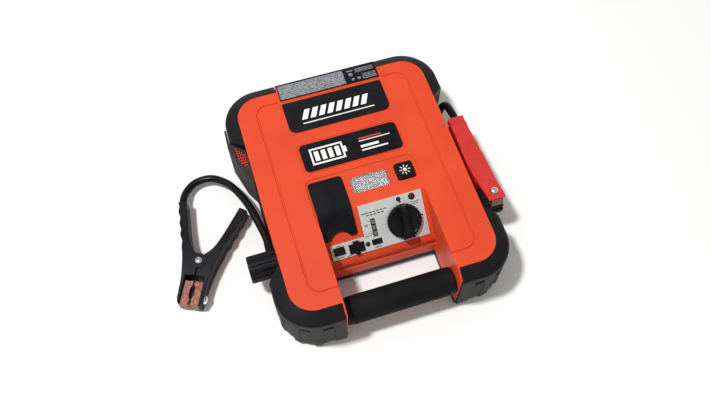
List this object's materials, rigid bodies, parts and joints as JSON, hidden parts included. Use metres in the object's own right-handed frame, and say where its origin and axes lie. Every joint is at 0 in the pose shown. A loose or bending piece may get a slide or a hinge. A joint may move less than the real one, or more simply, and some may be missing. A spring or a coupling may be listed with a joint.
{
  "type": "jump starter pack",
  "caption": "Portable car jump starter pack lying on its back, with a carry grip, a sloped control panel and battery clamps on short cables.",
  "frame": {"origin": "on the surface that the pack lies on, under the middle of the case", "axes": "+Z out of the front panel, +Y to the top end away from the carry grip, +X to the right as the labels are read"},
  "size_m": [0.3955, 0.315, 0.0826],
  "materials": {
    "orange_case": "satin moulded, fine texture",
    "black_case": "satin moulded",
    "guard_rubber": "dull, lightly textured",
    "grip_rubber": "dull, fine ribs",
    "steel": "plain plated steel",
    "silver_label": "printed film",
    "black_label": "printed film",
    "cover_rubber": "soft moulded",
    "clear_lens": "clear, stands for moulded clear plastic",
    "reflector": "bright metallised, facetted",
    "circuit_board": "solder mask",
    "black_button": "satin moulded",
    "panel_sheet": "fine brushed, printed",
    "dark_window": "smoked",
    "red_lens": "clear red",
    "vent_red": "moulded",
    "battery_case": "moulded",
    "copper": "copper plated",
    "black_cable": "smooth jacket",
    "red_cable": "smooth jacket",
    "black_clamp_plastic": "moulded sleeve",
    "red_clamp_plastic": "moulded sleeve"
  },
  "bodies": {
    "case": {"front_cover": "orange_case", "rear_cover": "black_case", "vent_frame": "black_case", "clamp_post_left": "black_case", "clamp_post_right": "black_case", "power_switch": "black_case", "bumper_bottom_left": "guard_rubber", "bumper_bottom_right": "guard_rubber", "bumper_top_right": "guard_rubber", "bumper_top_left": "guard_rubber", "cable_gland_left": "guard_rubber", "cable_gland_right": "guard_rubber", "handle_grip": "grip_rubber", "handle_core": "steel", "dc_socket_barrel": "steel", "dc_socket_contact": "steel", "battery_strap": "steel", "charger_transformer": "steel", "black_clamp_pivot": "steel", "red_clamp_pivot": "steel", "black_clamp_spring": "steel", "red_clamp_spring": "steel", "info_label": "silver_label", "brand_plate": "black_label", "rating_plate": "black_label", "socket_cover_strap": "cover_rubber", "work_light_lens": "clear_lens", "work_light_reflector": "reflector", "work_light_board": "circuit_board", "panel_board": "circuit_board", "main_board": "circuit_board", "charge_inlet": "black_button", "control_panel": "panel_sheet", "charge_window": "dark_window", "status_led_small": "dark_window", "status_led_dot": "dark_window", "status_led_large": "red_lens", "vent_grille": "vent_red", "battery": "battery_case", "battery_terminal_negative": "copper", "battery_terminal_positive": "copper", "black_clamp_jaw_fixed": "copper", "red_clamp_jaw_fixed": "copper", "black_cable": "black_cable", "red_cable": "black_cable", "lead_negative": "black_cable", "lead_positive": "red_cable", "black_clamp_arm_fixed": "black_clamp_plastic", "red_clamp_arm_fixed": "red_clamp_plastic"},
    "knob": {"power_knob": "black_button", "knob_shaft": "steel"},
    "socket_flap": {"socket_cover_flap": "cover_rubber"},
    "inlet_cap": {"charge_inlet_cover": "cover_rubber"},
    "light_key": {"light_button": "black_button"},
    "test_key": {"test_button": "black_button"},
    "breaker_key": {"breaker_button": "black_button"},
    "black_clamp_lever": {"black_clamp_arm_moving": "black_clamp_plastic", "black_clamp_jaw_moving": "copper"},
    "red_clamp_lever": {"red_clamp_arm_moving": "red_clamp_plastic", "red_clamp_jaw_moving": "copper"}
  },
  "joints": [
    {"name": "knob_turn", "type": "hinge", "parent": "case", "child": "knob", "pos_m": [0.0319, -0.06048, 0.05918], "axis": [0, 0.6428, -0.766], "range_deg": [0, 90]},
    {"name": "socket_flap_hinge", "type": "hinge", "parent": "case", "child": "socket_flap", "pos_m": [-0.0432, -0.03795, 0.08135], "axis": [-1, 0, 0], "range_deg": [0, 120], "stiffness_Nm_per_rad": 0.006, "springref_deg": -11.46},
    {"name": "inlet_cap_hinge", "type": "hinge", "parent": "case", "child": "inlet_cap", "pos_m": [-0.0283, -0.06736, 0.05602], "axis": [-1, 0, 0], "range_deg": [0, 100], "stiffness_Nm_per_rad": 0.003, "springref_deg": -11.46},
    {"name": "light_button_press", "type": "slide", "parent": "case", "child": "light_key", "axis": [0, 0, -1], "range_m": [0, 0.0015], "stiffness_N_per_m": 800, "springref_m": -0.001},
    {"name": "test_button_press", "type": "slide", "parent": "case", "child": "test_key", "axis": [0, 0.6428, -0.766], "range_m": [0, 0.0012], "stiffness_N_per_m": 600, "springref_m": -0.001},
    {"name": "breaker_button_press", "type": "slide", "parent": "case", "child": "breaker_key", "axis": [0, 0.6428, -0.766], "range_m": [0, 0.0015], "stiffness_N_per_m": 600, "springref_m": -0.001},
    {"name": "black_clamp_squeeze", "type": "hinge", "parent": "case", "child": "black_clamp_lever", "pos_m": [-0.2054, -0.0224, 0.0134], "axis": [0, 0, 1], "range_deg": [0, 35], "stiffness_Nm_per_rad": 1.5, "springref_deg": -11.46},
    {"name": "red_clamp_squeeze", "type": "hinge", "parent": "case", "child": "red_clamp_lever", "pos_m": [0.1404, -0.0265, 0.042], "axis": [1, 0, 0], "range_deg": [0, 4], "stiffness_Nm_per_rad": 1.5, "springref_deg": -28.65}
  ]
}
